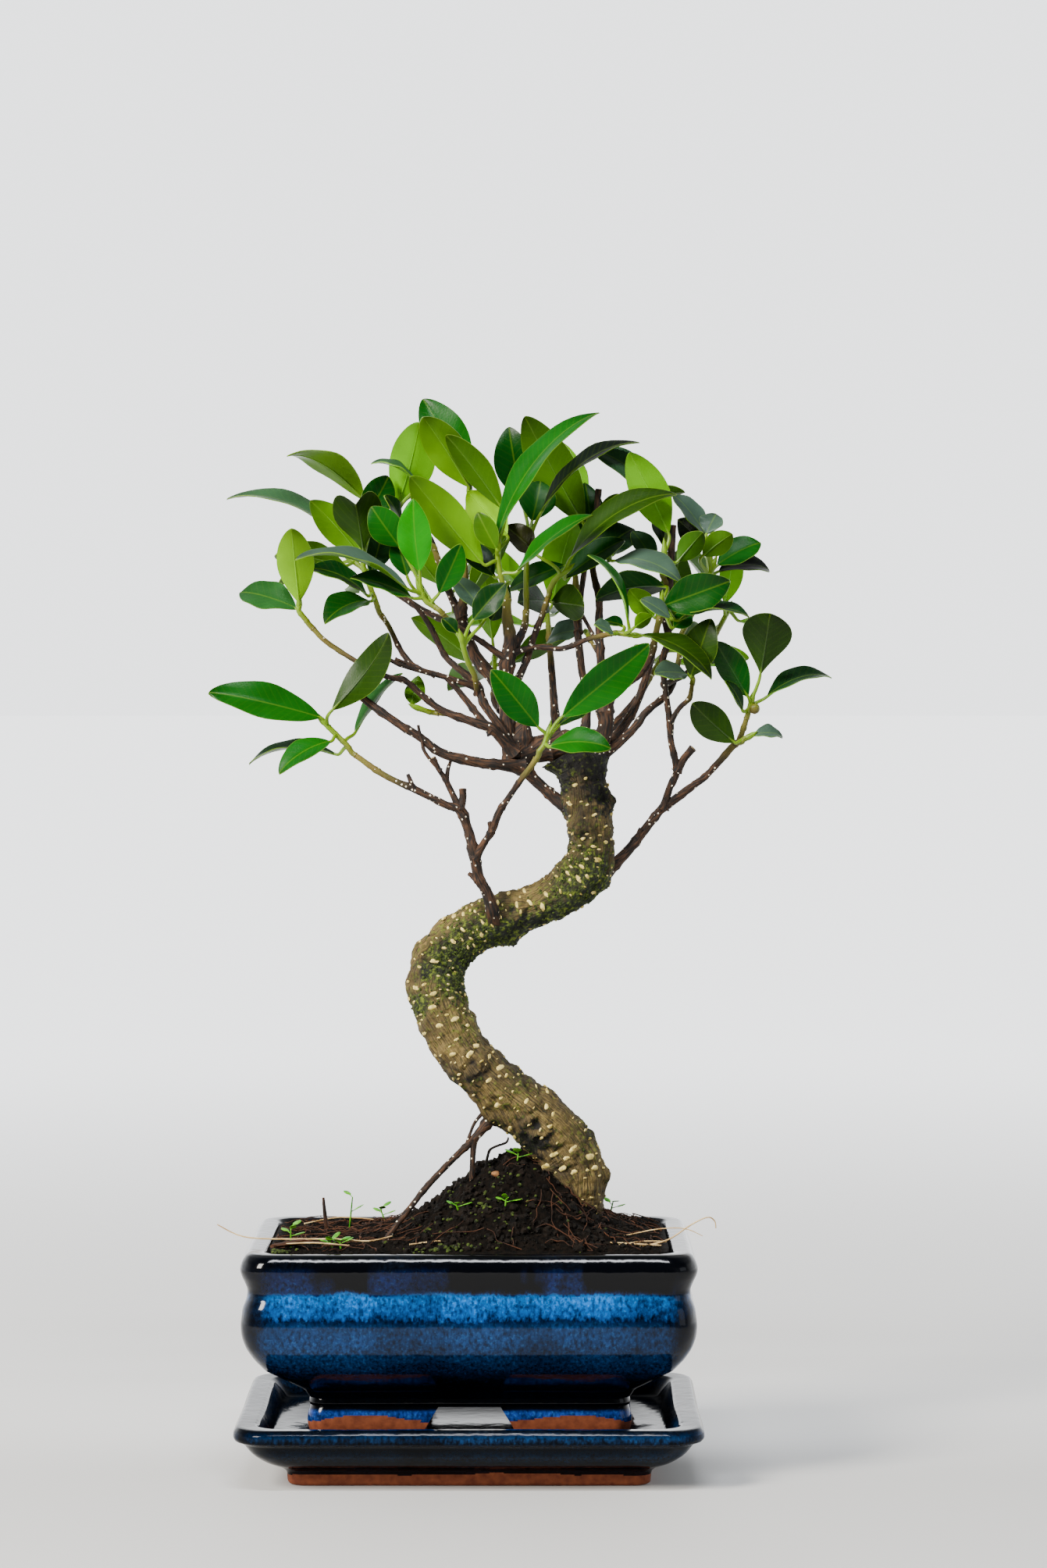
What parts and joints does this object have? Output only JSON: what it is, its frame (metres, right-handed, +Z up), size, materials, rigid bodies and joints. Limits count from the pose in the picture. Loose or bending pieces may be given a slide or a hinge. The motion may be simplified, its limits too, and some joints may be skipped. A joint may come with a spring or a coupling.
{
  "type": "chinese banyan bonsai",
  "caption": "Small indoor fig tree with an S-curved trunk, leafy sprays and prop roots, planted on a soil mound in a glazed pot with a matching saucer.",
  "frame": {"origin": "middle of the whole plant's box, on the surface that the saucer stands on", "axes": "+Z up along the tree, +X to the right as seen from the front, +Y to the back"},
  "size_m": [0.2118, 0.1388, 0.3645],
  "materials": {
    "glaze": "gloss, dark navy with a streaked bright blue band, bare terracotta at the feet",
    "soil": "matte, damp dark potting soil with fibres",
    "bark": "matte, olive-grey bark with pale pores and patches of moss",
    "leaf": "satin, deep green above and yellow-green below"
  },
  "bodies": {
    "root": {"saucer": "glaze", "pot": "glaze", "soil": "soil", "trunk": "bark", "spray_left_a": "leaf", "spray_left_b": "leaf", "spray_left_c": "leaf", "spray_top_left": "leaf", "spray_top": "leaf", "spray_crown_a": "leaf", "spray_crown_b": "leaf", "spray_crown_c": "leaf", "spray_crown_d": "leaf", "spray_green_stem": "leaf", "spray_stub_top": "leaf", "spray_right_back": "leaf", "spray_right_front": "leaf", "spray_bar_end": "leaf", "spray_upright_tip": "leaf", "spray_thin_back": "leaf", "spray_twig_right": "leaf", "spray_far_right_low": "leaf", "spray_far_right": "leaf", "spray_low_left": "leaf", "spray_centre": "leaf", "spray_small_left": "leaf", "spray_back_a": "leaf", "spray_back_b": "leaf", "spray_back_c": "leaf", "spray_back_d": "leaf", "spray_back_e": "leaf", "spray_back_f": "leaf", "spray_back_g": "leaf"}
  },
  "joints": []
}
